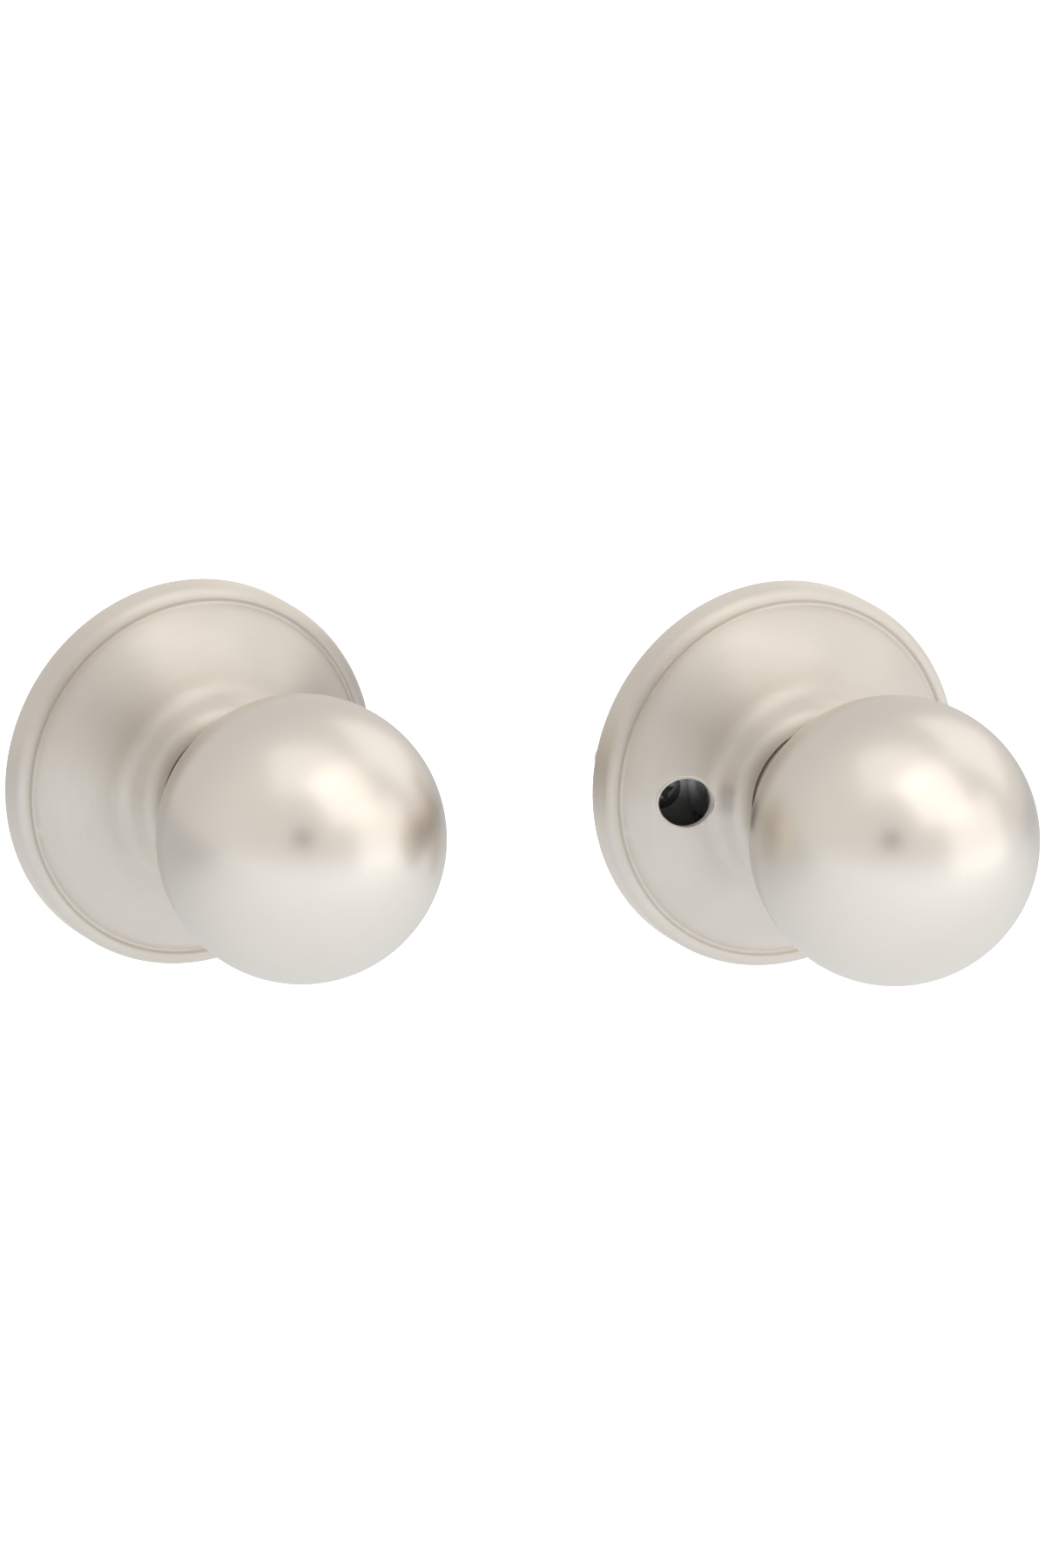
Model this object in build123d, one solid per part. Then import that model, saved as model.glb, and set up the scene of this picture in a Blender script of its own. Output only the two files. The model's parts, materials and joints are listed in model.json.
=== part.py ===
"""Passage door knob set: an exterior half with the spindle and threaded posts, and an interior half with
the screws. Each half is drawn about its own knob axis, with z = 0 on the door's face and +z towards the hand,
and is then turned so that the knob points along -Y, with +Z up. Millimetres."""

from build123d import *

import os
from math import cos, radians, sin

os.makedirs("parts", exist_ok=True)

# Where the two halves stand: the origin is on the exterior knob's axis, in the plane of its door face.
EXTERIOR_PLACE = (0.0, 0.0, 0.0)
INTERIOR_PLACE = (91.2, -45.0, 0.0)

# Rose: a pressed shell with a rolled rim, a domed face and a raised hub.
ROSE_R = 34.0
ROSE_WALL = 1.2
RIM_TOP = 5.9
RIM_ROUND = 1.7
RIM_INNER_R = 31.9
CREASE = (31.2, 5.2)
HUB_FOOT = (17.0, 13.7)
FACE_RADIUS = 18.9
HUB_FOOT_ROUND = 3.0
HUB_R = 16.3
HUB_TOP = 20.9
HUB_SHOULDER_ROUND = 2.3
HUB_MOUTH_R = 13.3
HUB_LIP_ROUND = 0.5

# Knob: a hollow ball on a tubular shank.
BALL_R = 25.0
BALL_CENTRE = 48.6
BALL_WALL = 1.2
LINER_WALL = 1.5
LINER_BOSS_TOP = 38.0
NECK_R = 12.9
NECK_WALL = 1.5
NECK_TOP = 42.0
NECK_SHOULDER = 12.2
JOURNAL_R = 10.0
JOURNAL_END = -4.4
SHANK_BORE_R = 7.5
BORE_STEP = (14.2, 17.2)
JOURNAL_CHAMFER = 0.4

# Mounting plate, held just off the door by the rose's rim, with the spigot that centres it in a 54 mm bore.
PLATE_R = 32.7
PLATE_BACK = 0.3
PLATE_TOP = 1.5
SPIGOT_R = 26.6
SPIGOT_WALL = 1.2
SPIGOT_DEPTH = 5.0

# Bearing and axial retention.
RUNNING_GAP = 0.06
BUSHING_WALL = 1.34
BUSHING_FLANGE_R = 12.2
BUSHING_FLANGE_T = 1.3
MOVING_GAP = 0.3
WASHER_T = 0.9
RING_T = 0.8
RING_GROOVE_DEPTH = 1.0
RING_OUTER_R = 11.7
RING_OPENING_DEG = 60.0

# Spring housing: a base ring with standing walls, open between them for the spring's legs.
HOUSING_R = 16.4
HOUSING_WALL = 1.2
HOUSING_BASE_T = 0.9
HOUSING_TOP = 9.4
TONGUE_HALF_DEG = 9.5
POST_HALF_DEG = 17.0
STOP_RIB_DEPTH = 1.5
STOP_RIB_HALF_WIDTH = 2.4
RIVET_R = 0.9
RIVET_HEAD_R = 1.35
RIVET_HEAD_T = 0.55
RIVET_CIRCLE_R = 13.7
RIVET_ANGLES = (45.0, 135.0, 225.0, 315.0)

# Return cam and torsion spring.
CAM_RING_R = 13.0
CAM_T = 2.0
CAM_TAB_R = 14.9
CAM_TAB_T = 1.3
CAM_TAB_WIDTH = 5.0
CAM_TAB_END = 3.4
SPRING_COIL_R = 12.6
SPRING_WIRE_R = 0.5
SPRING_START = 4.0
SPRING_TURNS = 3
SPRING_RISE = 4.8
SPRING_LEG_END_R = 16.2
SPRING_LEG_DEG = 13.5

# Half-round spindle, its driver in the exterior shank and its socket in the interior shank.
SPINDLE_R = 4.0
SPINDLE_FLAT = 1.3
SPINDLE_REACH = 48.0
DRIVER_START = -1.0
DRIVER_END = 9.0
SOCKET_START = -3.5
SOCKET_END = 12.0
SOCKET_GAP = 0.2
PIN_R = 0.9
PIN_LENGTH = 14.0
PIN_Z = 4.0

# Fasteners: the screws pass through the interior half into the exterior half's threaded posts.
SCREW_CIRCLE_R = 21.9
ACCESS_HOLE_R = 4.4
POST_R = 3.3
POST_LENGTH = 18.5
POST_TENON_R = 2.6
POST_BORE_R = 2.08
POST_BORE_DEPTH = 15.0
SCREW_R = 2.08
SCREW_NECK_R = 1.8
SCREW_NECK_START = -1.0
SCREW_HEAD_R = 3.7
SCREW_HEAD_T = 2.2
SCREW_HEAD_CHAMFER = 0.7
SCREW_LENGTH = 20.5
SCREW_HOLE_R = 2.5
RECESS_REACH = 1.7
RECESS_WIDTH = 0.9
RECESS_DEPTH = 1.4

FLOOR_ALIGN = (Align.CENTER, Align.CENTER, Align.MIN)


def rod(radius, low, high):
    """A solid cylinder about the z axis."""
    return Pos(0, 0, low) * Cylinder(radius, high - low, align=FLOOR_ALIGN)


def tube(inner, outer, low, high):
    """A ring or sleeve about the z axis."""
    return rod(outer, low, high) - rod(inner, low - 1, high + 1)


def turned(points):
    """A solid of revolution from its half section, given as (radius, z) points."""
    return revolve(Plane.XZ * make_face(Polyline(*points, close=True)), Axis.Z)


def across(shape, radius=SCREW_CIRCLE_R):
    """A shape repeated left and right of the axis, at the screws' spacing."""
    return [Pos(side * radius, 0, 0) * shape for side in (-1, 1)]


def wedge(radius, start_deg, end_deg, low, high):
    """A sector of a disc, from one angle to another."""
    middle = radians((start_deg + end_deg) / 2)
    tip = (2 * radius * cos(middle), 2 * radius * sin(middle))
    rays = [(2 * radius * cos(radians(a)), 2 * radius * sin(radians(a))) for a in (start_deg, end_deg)]
    outline = make_face(Polyline((0, 0), rays[0], tip, rays[1], close=True))
    return Pos(0, 0, low) * extrude(outline, high - low)


def half_round(radius, flat, low, high):
    """A bar with a round back and one flat, as the spindle is."""
    flat_cut = Pos(0, flat + radius, 0) * Box(4 * radius, 2 * radius, 4 * (high - low))
    return rod(radius, low, high) - Pos(0, 0, (low + high) / 2) * flat_cut


def nearest(section, point):
    """The corner of a section nearest to a point."""
    return min(section.vertices(), key=lambda v: (v.X - point[0]) ** 2 + (v.Y - point[1]) ** 2)


def rose_section():
    """The rose's outer half section, solid to the axis."""
    rim = Polyline((0, 0), (ROSE_R, 0), (ROSE_R, RIM_TOP), (RIM_INNER_R, RIM_TOP), CREASE)
    face = RadiusArc(CREASE, HUB_FOOT, -FACE_RADIUS)
    hub = Polyline(HUB_FOOT, (HUB_R, HUB_TOP), (0, HUB_TOP), (0, 0))
    section = make_face(rim + face + hub)
    for corner, radius in (
        ((ROSE_R, RIM_TOP), RIM_ROUND),
        ((RIM_INNER_R, RIM_TOP), RIM_ROUND / 3),
        (HUB_FOOT, HUB_FOOT_ROUND),
        ((HUB_R, HUB_TOP), HUB_SHOULDER_ROUND),
    ):
        section = fillet(nearest(section, corner), radius)
    return section


def rose(has_screw_holes):
    """The pressed rose: its outer shape, less the same shape set in by the wall."""
    outer = rose_section()
    hollow = offset(outer, amount=-ROSE_WALL, kind=Kind.INTERSECTION)
    skirt = Pos((ROSE_R - ROSE_WALL) / 2, 0) * Rectangle(ROSE_R - ROSE_WALL, 3 * ROSE_WALL)
    mouth = Pos(HUB_MOUTH_R / 2, 0) * Rectangle(HUB_MOUTH_R, 4 * HUB_TOP)
    wall = outer - hollow - skirt - mouth
    wall = fillet(nearest(wall, (HUB_MOUTH_R, HUB_TOP)), HUB_LIP_ROUND)
    shell = revolve(Plane.XZ * wall, Axis.Z)
    if has_screw_holes:
        for hole in across(rod(ACCESS_HOLE_R, PLATE_TOP, 2 * HUB_TOP)):
            shell -= hole
    return shell


def mounting_plate(hole_r):
    """The plate behind the rose, with its spigot and two fastener holes."""
    journal_hole_r = JOURNAL_R + RUNNING_GAP + BUSHING_WALL
    plate = rod(PLATE_R, PLATE_BACK, PLATE_TOP)
    plate += tube(SPIGOT_R - SPIGOT_WALL, SPIGOT_R, -SPIGOT_DEPTH, (PLATE_BACK + PLATE_TOP) / 2)
    plate -= rod(journal_hole_r, -SPIGOT_DEPTH, 2 * PLATE_TOP)
    for hole in across(rod(hole_r, -SPIGOT_DEPTH, 2 * PLATE_TOP)):
        plate -= hole
    for angle in RIVET_ANGLES:
        plate -= Rot(0, 0, angle) * Pos(RIVET_CIRCLE_R, 0, 0) * rod(RIVET_R, -SPIGOT_DEPTH, 2 * PLATE_TOP)
    return plate


def bushing():
    """The flanged sleeve that the shank turns in."""
    inner = JOURNAL_R + RUNNING_GAP
    sleeve = tube(inner, inner + BUSHING_WALL, -BUSHING_FLANGE_T, NECK_SHOULDER - CAM_T - MOVING_GAP)
    return sleeve + tube(inner, BUSHING_FLANGE_R, -BUSHING_FLANGE_T, PLATE_BACK)


def thrust_washer():
    """The slip washer between the bushing's flange and the retaining ring."""
    return tube(JOURNAL_R + MOVING_GAP, BUSHING_FLANGE_R, -BUSHING_FLANGE_T - WASHER_T, -BUSHING_FLANGE_T)


def ring_top():
    """The side of the retaining ring that faces the washer."""
    return -BUSHING_FLANGE_T - WASHER_T - MOVING_GAP


def retaining_ring():
    """The open spring ring in the shank's groove."""
    top = ring_top()
    ring = tube(JOURNAL_R - RING_GROOVE_DEPTH, RING_OUTER_R, top - RING_T, top)
    half = RING_OPENING_DEG / 2
    return ring - wedge(RING_OUTER_R, -half, half, top - 2 * RING_T, top + RING_T)


def shank():
    """The turned tube from the ball to the retaining ring."""
    top = ring_top()
    step_low, step_high = BORE_STEP
    body = turned([
        (SHANK_BORE_R, JOURNAL_END), (JOURNAL_R - JOURNAL_CHAMFER, JOURNAL_END),
        (JOURNAL_R, JOURNAL_END + JOURNAL_CHAMFER), (JOURNAL_R, NECK_SHOULDER), (NECK_R, NECK_SHOULDER),
        (NECK_R, NECK_TOP), (NECK_R - NECK_WALL, NECK_TOP), (NECK_R - NECK_WALL, step_high),
        (SHANK_BORE_R, step_low),
    ])
    return body - tube(JOURNAL_R - RING_GROOVE_DEPTH, JOURNAL_R + 1, top - RING_T, top)


def ball_shell():
    """The hollow ball that the hand holds."""
    shell = Sphere(BALL_R) - Sphere(BALL_R - BALL_WALL)
    return Pos(0, 0, BALL_CENTRE) * (shell - rod(NECK_R, -BALL_CENTRE, 0))


def ball_liner():
    """The cup inside the ball's back half, with the boss that grips the shank."""
    outer = BALL_R - BALL_WALL
    cup = Sphere(outer) - Sphere(outer - LINER_WALL) - rod(BALL_R, 0, BALL_R)
    boss = rod(NECK_R + LINER_WALL, -outer, LINER_BOSS_TOP - BALL_CENTRE) & Sphere(outer)
    return Pos(0, 0, BALL_CENTRE) * (cup + boss - rod(NECK_R, -BALL_CENTRE, BALL_R))


def spring_housing():
    """The cage around the spring: walls at the sides with stop ribs, and a tongue above and below."""
    inner = JOURNAL_R + RUNNING_GAP + BUSHING_WALL
    base_top = PLATE_TOP + HOUSING_BASE_T
    wall_inner = HOUSING_R - HOUSING_WALL
    cage = tube(inner, HOUSING_R, PLATE_TOP, base_top) + tube(wall_inner, HOUSING_R, PLATE_TOP, HOUSING_TOP)
    half_widths = (POST_HALF_DEG, TONGUE_HALF_DEG)
    for quarter in range(4):
        start = 90 * quarter + half_widths[quarter % 2]
        end = 90 * (quarter + 1) - half_widths[(quarter + 1) % 2]
        cage -= wedge(HOUSING_R, start, end, base_top, HOUSING_TOP + 1)
    rib_depth = STOP_RIB_DEPTH + HOUSING_WALL / 2
    rib = Box(rib_depth, 2 * STOP_RIB_HALF_WIDTH, HOUSING_TOP - PLATE_TOP, align=FLOOR_ALIGN)
    for stop in across(Pos(0, 0, PLATE_TOP) * rib, wall_inner + HOUSING_WALL / 2 - rib_depth / 2):
        cage += stop
    for angle in RIVET_ANGLES:
        cage -= Rot(0, 0, angle) * Pos(RIVET_CIRCLE_R, 0, 0) * rod(RIVET_R, 0, base_top + 1)
    return cage


def housing_rivets():
    """The rivets that clamp the spring housing to the plate."""
    base_top = PLATE_TOP + HOUSING_BASE_T
    rivet = rod(RIVET_R, PLATE_BACK, base_top) + rod(RIVET_HEAD_R, base_top, base_top + RIVET_HEAD_T)
    rivet += rod(RIVET_HEAD_R, PLATE_BACK - RIVET_HEAD_T, PLATE_BACK)
    return [Rot(0, 0, angle) * Pos(RIVET_CIRCLE_R, 0, 0) * rivet for angle in RIVET_ANGLES]


def return_cam():
    """The ring staked to the shank, with two tabs turned down between the spring's legs."""
    low, high = NECK_SHOULDER - CAM_T, NECK_SHOULDER
    cam = rod(CAM_RING_R, low, high)
    arm = Box(CAM_TAB_WIDTH, 2 * CAM_TAB_R, CAM_T, align=FLOOR_ALIGN)
    cam += (Pos(0, 0, low) * arm) & rod(CAM_TAB_R, low, high)
    tab = tube(CAM_TAB_R - CAM_TAB_T, CAM_TAB_R, CAM_TAB_END, low + CAM_T / 2)
    tab &= Pos(0, 0, CAM_TAB_END) * Box(CAM_TAB_WIDTH, 4 * CAM_TAB_R, low, align=FLOOR_ALIGN)
    return cam + tab - rod(JOURNAL_R, 0, 2 * high)


def return_spring():
    """The torsion spring: a close coil with two legs beside the upper tab."""
    start_deg = 90 + SPRING_LEG_DEG
    turns = SPRING_TURNS - 2 * SPRING_LEG_DEG / 360
    coil_path = Helix(SPRING_RISE / turns, SPRING_RISE, SPRING_COIL_R)
    wire = Plane(coil_path @ 0, z_dir=coil_path % 0) * Circle(SPRING_WIRE_R)
    spring = sweep(wire, coil_path, is_frenet=True)
    leg_length = SPRING_LEG_END_R - SPRING_COIL_R
    leg = Cylinder(SPRING_WIRE_R, leg_length, rotation=(0, 90, 0), align=FLOOR_ALIGN)
    for angle, height in ((0, 0), (360 * turns, SPRING_RISE)):
        elbow = Pos(SPRING_COIL_R, 0, height) * (leg + Sphere(SPRING_WIRE_R))
        spring += Rot(0, 0, angle) * elbow
    return Pos(0, 0, SPRING_START) * Rot(0, 0, start_deg) * spring


def spindle_pin():
    """The cross pin that locks the spindle in its driver."""
    return Pos(0, 0, PIN_Z) * Cylinder(PIN_R, PIN_LENGTH, rotation=(0, 90, 0))


def spindle():
    """The half-round bar that reaches through the door."""
    return half_round(SPINDLE_R, SPINDLE_FLAT, -SPINDLE_REACH, DRIVER_END) - spindle_pin()


def spindle_driver():
    """The plug in the exterior shank that holds the spindle."""
    plug = rod(SHANK_BORE_R, DRIVER_START, DRIVER_END)
    return plug - half_round(SPINDLE_R, SPINDLE_FLAT, DRIVER_START - 1, DRIVER_END + 1) - spindle_pin()


def spindle_socket():
    """The plug in the interior shank, with the hole that takes the spindle."""
    plug = rod(SHANK_BORE_R, SOCKET_START, SOCKET_END)
    radius, flat = SPINDLE_R + SOCKET_GAP, SPINDLE_FLAT + SOCKET_GAP
    return plug - half_round(radius, flat, SOCKET_START - 1, SOCKET_END + 1)


def threaded_posts():
    """The two posts riveted into the exterior plate, bored for the screws."""
    post = rod(POST_R, -POST_LENGTH, PLATE_BACK) + rod(POST_TENON_R, PLATE_BACK, PLATE_TOP)
    return across(post - rod(POST_BORE_R, -POST_LENGTH - 1, POST_BORE_DEPTH - POST_LENGTH))


def mounting_screws():
    """The two long screws whose heads sit under the rose's access holes."""
    head_top = PLATE_TOP + SCREW_HEAD_T
    screw = rod(SCREW_R, -SCREW_LENGTH, SCREW_NECK_START) + rod(SCREW_NECK_R, SCREW_NECK_START, PLATE_TOP)
    screw += rod(SCREW_HEAD_R, PLATE_TOP, head_top)
    screw = chamfer(screw.edges().group_by(Axis.Z)[-1], SCREW_HEAD_CHAMFER)
    slot = Box(2 * RECESS_REACH, RECESS_WIDTH, 2 * RECESS_DEPTH)
    for turn in (0, 90):
        screw -= Pos(0, 0, head_top) * Rot(0, 0, turn) * slot
    return across(screw)


def chassis(side, screw_holes, fastener_hole_r):
    """The pieces that both halves have."""
    return {
        f"{side}_rose": rose(screw_holes),
        f"{side}_mounting_plate": mounting_plate(fastener_hole_r),
        f"{side}_spring_housing": spring_housing(),
        f"{side}_housing_rivets": housing_rivets(),
        f"{side}_bushing": bushing(),
        f"{side}_thrust_washer": thrust_washer(),
        f"{side}_return_spring": return_spring(),
        f"{side}_ball_shell": ball_shell(),
        f"{side}_ball_liner": ball_liner(),
        f"{side}_shank": shank(),
        f"{side}_return_cam": return_cam(),
        f"{side}_retaining_ring": retaining_ring(),
    }


def write(pieces, place):
    """Turns each piece so that the knob points along -Y, moves it to its half's place and writes it."""
    for node, shape in pieces.items():
        solids = shape if isinstance(shape, list) else [shape]
        placed = [Pos(*place) * Rot(90, 0, 0) * solid for solid in solids]
        export_step(Compound(children=placed) if len(placed) > 1 else placed[0], f"parts/{node}.step")


exterior = chassis("exterior", False, POST_TENON_R)
exterior["exterior_spindle"] = spindle()
exterior["exterior_spindle_driver"] = spindle_driver()
exterior["exterior_spindle_pin"] = spindle_pin()
exterior["exterior_threaded_posts"] = threaded_posts()
write(exterior, EXTERIOR_PLACE)

interior = chassis("interior", True, SCREW_HOLE_R)
interior["interior_spindle_socket"] = spindle_socket()
interior["interior_mounting_screws"] = mounting_screws()
write(interior, INTERIOR_PLACE)
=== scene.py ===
"""Looks for a passage door knob set: an exterior half and an interior half, in satin nickel, side by side.

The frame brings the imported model. The pieces that show are rebuilt here at the place and size that the frame
gives, dressed in their finishes, and ride on the bodies that they belong to. The other nodes keep their shapes.
"""

import json
import logging
import math
from dataclasses import dataclass, field
from enum import Enum
from typing import Callable, Sequence

import bmesh
import bpy
from mathutils import Matrix, Vector


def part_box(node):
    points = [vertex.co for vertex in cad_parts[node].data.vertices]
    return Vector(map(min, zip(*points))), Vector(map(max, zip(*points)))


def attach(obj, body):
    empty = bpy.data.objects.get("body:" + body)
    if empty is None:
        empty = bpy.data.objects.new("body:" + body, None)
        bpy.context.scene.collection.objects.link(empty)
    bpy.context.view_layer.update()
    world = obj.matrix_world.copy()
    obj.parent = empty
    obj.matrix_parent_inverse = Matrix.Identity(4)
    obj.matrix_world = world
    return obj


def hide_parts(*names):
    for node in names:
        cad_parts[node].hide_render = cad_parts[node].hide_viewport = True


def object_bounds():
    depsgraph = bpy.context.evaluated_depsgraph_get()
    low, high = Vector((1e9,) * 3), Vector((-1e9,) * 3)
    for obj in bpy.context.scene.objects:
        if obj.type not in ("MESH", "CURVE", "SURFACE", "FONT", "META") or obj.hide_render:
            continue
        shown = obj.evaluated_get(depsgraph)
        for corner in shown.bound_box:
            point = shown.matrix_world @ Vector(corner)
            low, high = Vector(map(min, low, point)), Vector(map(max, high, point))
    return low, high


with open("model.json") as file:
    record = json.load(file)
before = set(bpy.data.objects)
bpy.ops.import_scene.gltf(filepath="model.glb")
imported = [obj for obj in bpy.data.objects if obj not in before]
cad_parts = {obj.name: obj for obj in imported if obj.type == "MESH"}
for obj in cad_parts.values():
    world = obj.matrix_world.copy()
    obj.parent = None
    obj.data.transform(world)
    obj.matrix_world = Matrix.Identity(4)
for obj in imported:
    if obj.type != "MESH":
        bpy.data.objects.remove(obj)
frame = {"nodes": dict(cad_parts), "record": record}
CAD_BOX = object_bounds()

LOG = logging.getLogger("door_knob_set")
MM = 0.001
FULL_TURN = 2.0 * math.pi
WELD = 1e-7
Point = tuple[float, float]
Span = tuple[float, float]


class Side(Enum):
    """The two halves of the set."""

    EXTERIOR = "exterior"
    INTERIOR = "interior"


class Body(Enum):
    """The CAD bodies that pieces ride on."""

    DOOR_SIDE = "door_side"
    EXTERIOR_KNOB = "exterior_knob"
    INTERIOR_KNOB = "interior_knob"


class Slot(Enum):
    """The record's material slots."""

    NICKEL = "satin_nickel"
    ZINC_PLATE = "zinc_plated_steel"
    DIE_CAST = "die_cast_zinc"
    BRASS = "sintered_brass"
    SPRING = "spring_steel"
    BLACK = "hardened_steel"
    ACETAL = "acetal_washer"


# -----------------------------------------------------------------------------
# Node helpers and the shared shader groups
# -----------------------------------------------------------------------------


class NodeSheet:
    """Adds nodes to one node tree and joins their sockets."""

    def __init__(self, tree: bpy.types.NodeTree) -> None:
        """Starts an empty sheet.

        Args:
            tree: the tree whose nodes are replaced.
        """
        self.tree = tree
        tree.nodes.clear()

    def add(self, kind: str, values: dict[object, object] | None = None, **settings: object
            ) -> bpy.types.Node:
        """Adds a node.

        Args:
            kind: the node's type name.
            values: input sockets' values, or the sockets that feed them, by name or number.
            **settings: the node's own properties.

        Returns:
            The new node.
        """
        node = self.tree.nodes.new(kind)
        node.location = (180 * len(self.tree.nodes), 0)
        for name, value in settings.items():
            setattr(node, name, value)
        for name, value in (values or {}).items():
            if isinstance(value, bpy.types.NodeSocket):
                self.tree.links.new(value, node.inputs[name])
            else:
                node.inputs[name].default_value = value
        return node

    def math(self, operation: str, first: object, second: object = 0.0, clamp: bool = False
             ) -> bpy.types.NodeSocket:
        """Adds a Math node and gives its result socket."""
        node = self.add("ShaderNodeMath", {0: first, 1: second}, operation=operation, use_clamp=clamp)
        return node.outputs[0]

    def span(self, value: bpy.types.NodeSocket, low: float, high: float, to_low: float, to_high: float
             ) -> bpy.types.NodeSocket:
        """Maps a value from one range to another, held inside it."""
        fed = {"Value": value, "From Min": low, "From Max": high, "To Min": to_low, "To Max": to_high}
        return self.add("ShaderNodeMapRange", fed).outputs["Result"]

    def mixed(self, share: bpy.types.NodeSocket, first: object, second: object
              ) -> bpy.types.NodeSocket:
        """Mixes two colours by a share.

        Args:
            share: how much of the second colour shows.
            first: a colour or a socket that gives one.
            second: the other.

        Returns:
            The mixed colour's socket.
        """
        node = self.add("ShaderNodeMix", data_type="RGBA")
        self.tree.links.new(share, node.inputs["Factor"])
        for name, value in (("A", first), ("B", second)):
            socket = next(s for s in node.inputs if s.name == name and s.type == "RGBA")
            if isinstance(value, bpy.types.NodeSocket):
                self.tree.links.new(value, socket)
            else:
                socket.default_value = value
        return next(s for s in node.outputs if s.type == "RGBA")


@dataclass(frozen=True)
class GroupPlan:
    """The name and sockets of a shared shader group."""

    name: str
    inputs: tuple[tuple[str, str, object], ...]
    outputs: tuple[tuple[str, str], ...]

    def start(self) -> tuple[bpy.types.NodeTree, NodeSheet, bpy.types.Node]:
        """Makes the group's tree and its inputs.

        Returns:
            The tree, a sheet to draw on and the Group Input node.
        """
        tree = bpy.data.node_groups.new(self.name, "ShaderNodeTree")
        sheet = NodeSheet(tree)
        for name, kind, value in self.inputs:
            tree.interface.new_socket(name=name, in_out="INPUT", socket_type=kind).default_value = value
        for name, kind in self.outputs:
            tree.interface.new_socket(name=name, in_out="OUTPUT", socket_type=kind)
        return tree, sheet, sheet.add("NodeGroupInput")


class SharedGroups:
    """The effects that several finishes use, each built once."""

    def __init__(self) -> None:
        """Builds every group."""
        self.turned_grain = self._turned_grain()
        self.fine_tooth = self._fine_tooth()
        self.handling = self._handling()
        self.edge_wear = self._edge_wear()

    @staticmethod
    def _turned_grain() -> bpy.types.NodeTree:
        """Fine lines that run round an axis along Y, as a turned or circular-brushed part has."""
        plan = GroupPlan("turned_grain", (
            ("Centre", "NodeSocketVector", (0.0, 0.0, 0.0)),
            ("Lines", "NodeSocketFloat", 9000.0),
            ("Breaks", "NodeSocketFloat", 3.0),
        ), (("Height", "NodeSocketFloat"),))
        tree, sheet, given = plan.start()
        place = sheet.add("ShaderNodeTexCoord").outputs["Object"]
        centre = given.outputs["Centre"]
        offset = sheet.add("ShaderNodeVectorMath", {0: place, 1: centre}, operation="SUBTRACT")
        parts = sheet.add("ShaderNodeSeparateXYZ", {0: offset.outputs["Vector"]})
        x, y, z = (parts.outputs[i] for i in range(3))
        squares = sheet.math("ADD", sheet.math("MULTIPLY", x, x), sheet.math("MULTIPLY", z, z))
        radius = sheet.math("SQRT", squares)
        along = sheet.math("MULTIPLY", sheet.math("SUBTRACT", radius, y), given.outputs["Lines"])
        angle = sheet.math("MULTIPLY", sheet.math("ARCTAN2", z, x), given.outputs["Breaks"])
        where = sheet.add("ShaderNodeCombineXYZ", {0: along, 1: angle}).outputs[0]
        noise = sheet.add("ShaderNodeTexNoise", {
            "Vector": where, "Scale": 1.0, "Detail": 3.0, "Roughness": 0.55})
        sheet.add("NodeGroupOutput", {"Height": noise.outputs["Fac"]})
        return tree

    @staticmethod
    def _fine_tooth() -> bpy.types.NodeTree:
        """The tiny even tooth of a blasted, cast or sintered surface."""
        plan = GroupPlan("fine_tooth", (
            ("Scale", "NodeSocketFloat", 4000.0),
        ), (("Height", "NodeSocketFloat"),))
        tree, sheet, given = plan.start()
        place = sheet.add("ShaderNodeTexCoord").outputs["Object"]
        noise = sheet.add("ShaderNodeTexNoise", {
            "Vector": place, "Scale": given.outputs["Scale"], "Detail": 4.0, "Roughness": 0.6})
        sheet.add("NodeGroupOutput", {"Height": noise.outputs["Fac"]})
        return tree

    @staticmethod
    def _handling() -> bpy.types.NodeTree:
        """Broad soft patches where hands and cloths have changed the polish."""
        plan = GroupPlan("handling", (
            ("Scale", "NodeSocketFloat", 45.0),
            ("Coverage", "NodeSocketFloat", 0.5),
        ), (("Mask", "NodeSocketFloat"),))
        tree, sheet, given = plan.start()
        place = sheet.add("ShaderNodeTexCoord").outputs["Object"]
        noise = sheet.add("ShaderNodeTexNoise", {
            "Vector": place, "Scale": given.outputs["Scale"], "Detail": 5.0, "Roughness": 0.62,
            "Distortion": 0.6})
        above = sheet.math("ADD", noise.outputs["Fac"], sheet.math("SUBTRACT", given.outputs["Coverage"], 0.5))
        sheet.add("NodeGroupOutput", {"Mask": sheet.span(above, 0.38, 0.66, 0.0, 1.0)})
        return tree

    @staticmethod
    def _edge_wear() -> bpy.types.NodeTree:
        """Raised edges, broken up by noise, where a coating rubs through or a polish brightens."""
        plan = GroupPlan("edge_wear", (
            ("Start", "NodeSocketFloat", 0.52),
            ("End", "NodeSocketFloat", 0.62),
        ), (("Mask", "NodeSocketFloat"),))
        tree, sheet, given = plan.start()
        place = sheet.add("ShaderNodeTexCoord").outputs["Object"]
        point = sheet.add("ShaderNodeNewGeometry").outputs["Pointiness"]
        noise = sheet.add("ShaderNodeTexNoise", {"Vector": place, "Scale": 700.0, "Detail": 3.0})
        broken = sheet.math("ADD", point, sheet.span(noise.outputs["Fac"], 0.3, 0.7, -0.03, 0.03))
        fed = {"Value": broken, "From Min": given.outputs["Start"], "From Max": given.outputs["End"]}
        sheet.add("NodeGroupOutput", {"Mask": sheet.add("ShaderNodeMapRange", fed).outputs["Result"]})
        return tree


# -----------------------------------------------------------------------------
# Finishes
# -----------------------------------------------------------------------------

Colour = tuple[float, float, float, float]
ACROSS_LINES = 0.25  # a quarter turn, so that highlights spread across the brushed lines


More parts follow.
